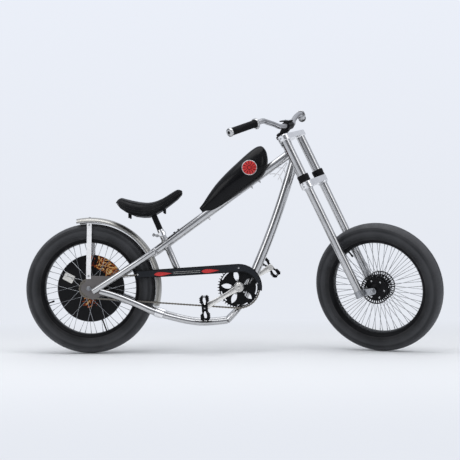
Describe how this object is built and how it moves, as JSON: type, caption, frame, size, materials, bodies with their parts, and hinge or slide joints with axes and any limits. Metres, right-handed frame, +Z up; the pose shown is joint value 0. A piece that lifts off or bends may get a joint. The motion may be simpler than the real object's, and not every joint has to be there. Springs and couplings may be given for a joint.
{
  "type": "chopper bicycle",
  "caption": "Long low chopper bicycle with a chromed frame, raked double-crown fork, fat tyres, wide bars, teardrop tank, scooped saddle and chain drive.",
  "frame": {"origin": "the rider's seat point, in the dip of the saddle's cover on the middle plane", "axes": "+X forward along the frame, +Y to the rider's left, +Z up"},
  "size_m": [1.7699, 0.6833, 1.0877],
  "materials": {
    "black_leather": "black leather with a soft sheen",
    "black_metal": "satin black metal",
    "black_paint": "gloss black paint",
    "black_rubber": "matte black rubber",
    "black_tyre": "matte black tyre rubber",
    "chrome": "mirror-bright chrome plating",
    "grey_steel": "plain grey steel",
    "printed_card": "thin printed card, dark, with a flame design",
    "silver": "bright silver metal, polished"
  },
  "bodies": {
    "frame": {"bottom_bracket_shell": "chrome", "chain": "grey_steel", "chain_guard": "black_paint", "coaster_brake_arm": "grey_steel", "cradle_strut": "chrome", "down_tube": "chrome", "fender_strut_left": "chrome", "fender_strut_right": "chrome", "head_tube": "chrome", "lower_rail_left": "chrome", "lower_rail_right": "chrome", "rear_axle": "grey_steel", "rear_fender": "chrome", "rear_plate_left": "grey_steel", "rear_plate_right": "grey_steel", "rear_yoke": "chrome", "saddle": "black_leather", "saddle_pan": "black_metal", "seat_clamp": "chrome", "seat_post": "black_metal", "seat_stay_left": "chrome", "seat_stay_right": "chrome", "seat_tube": "chrome", "tank": "black_paint", "top_tube": "chrome", "web_gusset": "chrome"},
    "rear_wheel": {"rear_tyre": "black_tyre", "rear_rim": "black_metal", "rear_hub_and_spokes": "black_metal", "rear_sprocket": "grey_steel", "wheel_card": "printed_card"},
    "crank": {"bottom_bracket_spindle": "grey_steel", "chainring": "black_metal", "crank_left": "silver", "crank_right": "silver"},
    "pedal_right": {"pedal_right": "black_metal"},
    "pedal_left": {"pedal_left": "black_metal"},
    "steering": {"steerer": "grey_steel", "top_crown": "silver", "lower_crown": "silver", "fork_leg_left": "chrome", "fork_leg_right": "chrome", "fork_collar_left": "black_rubber", "fork_collar_right": "black_rubber", "fork_tip_left": "silver", "fork_tip_right": "silver", "grip_left": "black_rubber", "grip_right": "black_rubber", "grip_collar_left": "chrome", "grip_collar_right": "chrome", "grip_cap_left": "chrome", "grip_cap_right": "chrome", "stem": "black_metal", "handlebar": "silver", "front_axle": "grey_steel"},
    "front_wheel": {"front_tyre": "black_tyre", "front_rim": "black_metal", "front_hub_and_spokes": "black_metal"}
  },
  "joints": [
    {"name": "rear_wheel_spin", "type": "hinge", "parent": "frame", "child": "rear_wheel", "pos_m": [-0.23, 0, -0.369], "axis": [0, 1, 0], "continuous": true},
    {"name": "crank_spin", "type": "hinge", "parent": "frame", "child": "crank", "pos_m": [0.4095, 0, -0.369], "axis": [0, 1, 0], "continuous": true},
    {"name": "pedal_right_spin", "type": "hinge", "parent": "crank", "child": "pedal_right", "pos_m": [0.26661, -0.1455, -0.4515], "axis": [0, 1, 0], "continuous": true},
    {"name": "pedal_left_spin", "type": "hinge", "parent": "crank", "child": "pedal_left", "pos_m": [0.55239, 0.1455, -0.2865], "axis": [0, 1, 0], "continuous": true},
    {"name": "steering_turn", "type": "hinge", "parent": "frame", "child": "steering", "pos_m": [0.93331, 0, -0.40885], "axis": [-0.4258, 0, 0.9048], "range_deg": [0, 60]},
    {"name": "front_wheel_spin", "type": "hinge", "parent": "steering", "child": "front_wheel", "pos_m": [1.00665, -0.0468, -0.37434], "axis": [0.4524, 0.866, 0.2129], "continuous": true}
  ]
}
